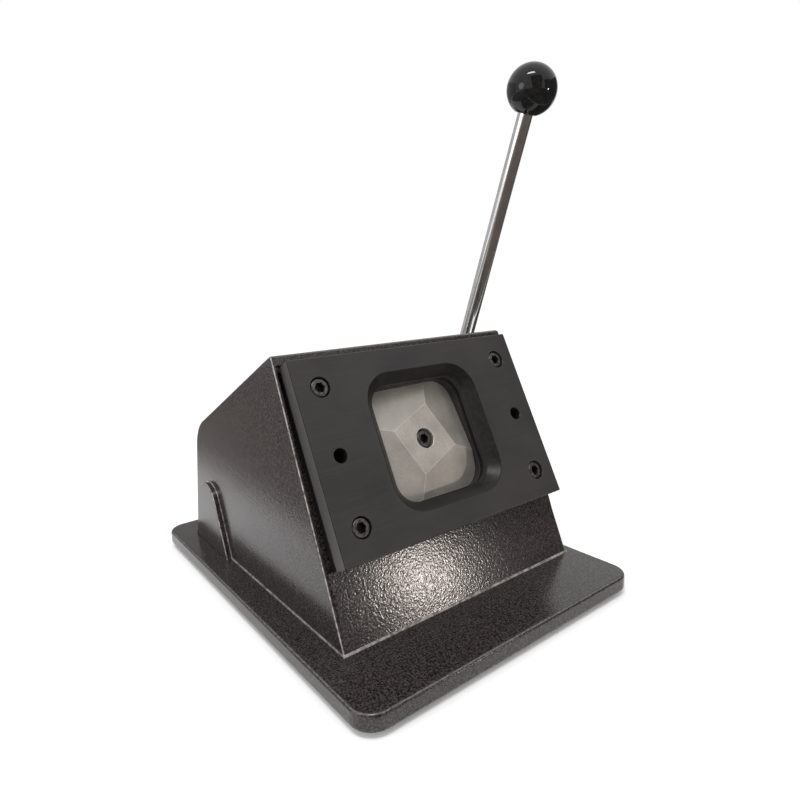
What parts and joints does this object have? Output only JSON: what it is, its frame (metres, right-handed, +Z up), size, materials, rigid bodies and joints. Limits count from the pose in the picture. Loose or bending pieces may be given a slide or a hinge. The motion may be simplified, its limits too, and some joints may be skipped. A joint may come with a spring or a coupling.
{
  "type": "tabletop lever die-cutting press",
  "caption": "Tabletop hand press that punches rounded squares from sheet: slanted die plate on a hammertone casting, side lever with ball knob, cam-driven punch with return springs.",
  "frame": {"origin": "on the table under the middle of the whole press, ball knob included", "axes": "+Z up, -Y towards the user and the die plate, +X to the right, where the lever is"},
  "size_m": [0.2358, 0.263, 0.3252],
  "materials": {
    "hammertone": "semi_gloss",
    "black_steel": "satin",
    "ground_steel": "satin",
    "turned_steel": "satin",
    "black_oxide": "satin",
    "chrome": "polished",
    "bronze": "satin",
    "spring_steel": "satin",
    "knob_plastic": "gloss",
    "foot_rubber": "matte"
  },
  "bodies": {
    "frame": {"base_plate": "hammertone", "rubber_feet": "foot_rubber", "foot_screws": "turned_steel", "body_casting": "hammertone", "body_screws": "black_oxide", "die_plate": "black_steel", "die_screws": "black_oxide", "upper_slot_spacer": "turned_steel", "lower_slot_spacer": "turned_steel", "die_dowels": "turned_steel", "guide_plate": "black_steel", "guide_pillars": "turned_steel", "pillar_rings": "spring_steel", "left_shaft_bush": "bronze", "right_shaft_bush": "bronze", "stop_pins": "turned_steel", "left_return_spring": "spring_steel", "right_return_spring": "spring_steel"},
    "ram": {"punch": "ground_steel", "punch_screw": "black_oxide", "punch_dowels": "turned_steel", "ram_plate": "turned_steel", "ram_bushes": "bronze", "push_rod": "turned_steel", "thrust_cap": "ground_steel"},
    "lever": {"cross_shaft": "turned_steel", "cam": "ground_steel", "cam_key": "turned_steel", "cam_set_screw": "black_oxide", "stop_collar": "turned_steel", "collar_set_screw": "black_oxide", "spacer_sleeve": "turned_steel", "lever_hub": "turned_steel", "hub_pin": "spring_steel", "lever_rod": "chrome", "lock_nut": "chrome", "ball_knob": "knob_plastic"}
  },
  "joints": [
    {"name": "lever_pull", "type": "hinge", "parent": "frame", "child": "lever", "pos_m": [-0.0179, 0.0755, 0.0415], "axis": [1, 0, 0], "range_deg": [0, 55]},
    {"name": "ram_slide", "type": "slide", "parent": "frame", "child": "ram", "axis": [0, -0.8988, 0.4384], "range_m": [0, 0.01], "stiffness_N_per_m": 6000, "springref_m": -0.006, "deforming": ["left_return_spring", "right_return_spring"]}
  ],
  "couplings": [
    {"joint": "ram_slide", "follows": "lever_pull", "m_per_rad": 0.0104}
  ]
}
